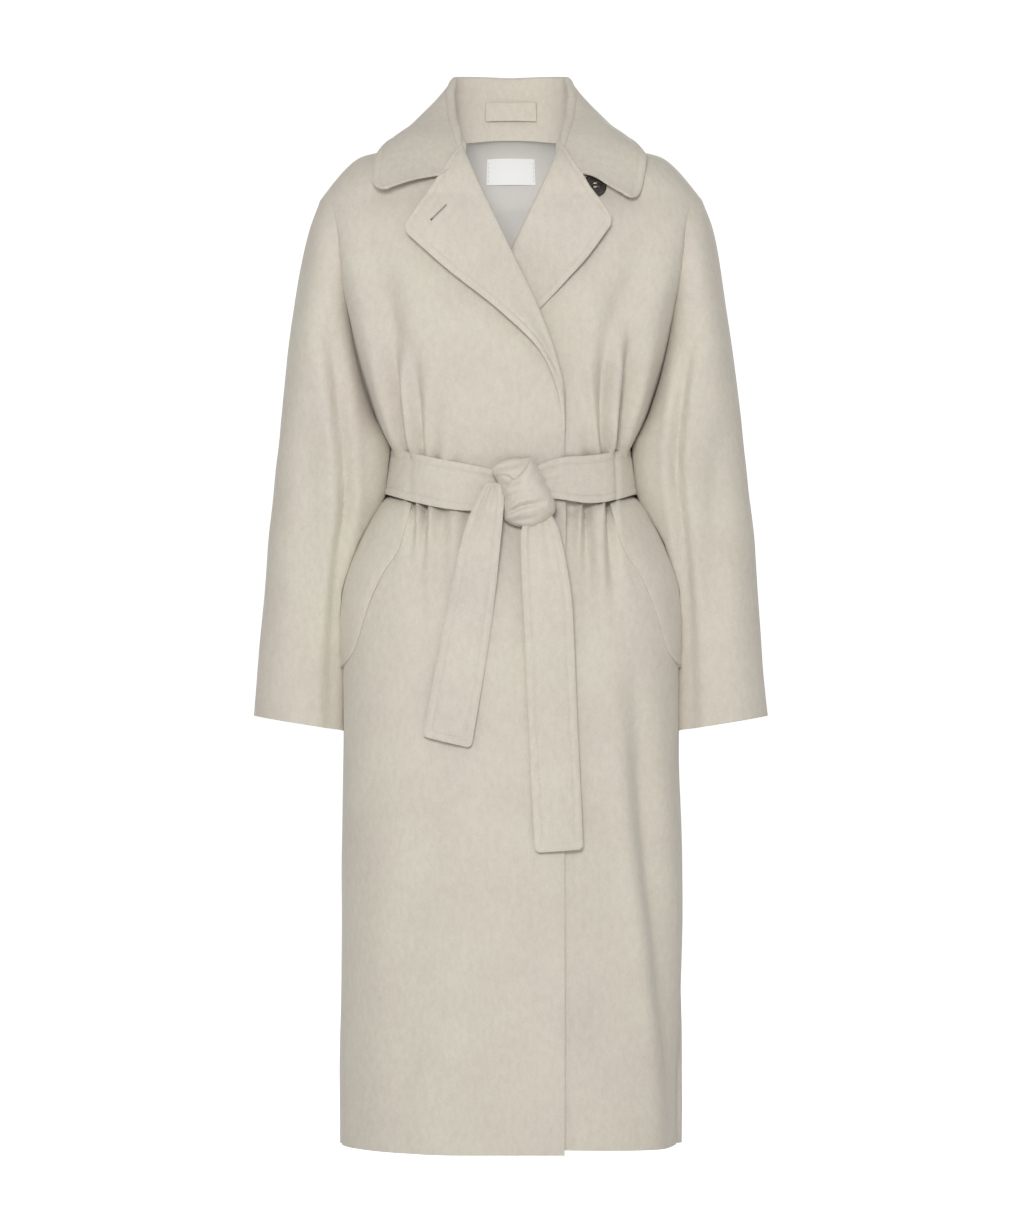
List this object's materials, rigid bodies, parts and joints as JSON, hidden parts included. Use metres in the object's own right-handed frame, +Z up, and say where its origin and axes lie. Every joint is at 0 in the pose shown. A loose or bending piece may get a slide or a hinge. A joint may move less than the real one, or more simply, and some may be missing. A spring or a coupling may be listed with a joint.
{
  "type": "belted coat",
  "caption": "Long belted wool coat filled out as if worn, with wide notched lapels, turned-down collar, sleeves cut in one with the body, slanted pocket welts and an open hem.",
  "frame": {"origin": "on the middle line at the level of the back neck seam, where the wearer's shoulders carry the coat", "axes": "+Z up along the coat's length, -Y out of the front, +X to the wearer's left"},
  "size_m": [0.608, 0.2954, 1.266],
  "materials": {
    "wool": "thick felted ivory-grey wool with a short brushed nap",
    "lining_satin": "pale grey satin lining",
    "label_weave": "white woven label, blank",
    "button_resin": "near-black polished resin"
  },
  "bodies": {
    "root": {"front_right": "wool", "front_left": "wool", "back_right": "wool", "back_left": "wool", "lapel_right": "wool", "lapel_left": "wool", "collar": "wool", "belt_band": "wool", "belt_knot": "wool", "belt_end_right": "wool", "belt_end_left": "wool", "pocket_welt_right": "wool", "pocket_welt_left": "wool", "hanger_loop": "wool", "back_lining": "lining_satin", "label": "label_weave", "button": "button_resin"}
  },
  "joints": []
}
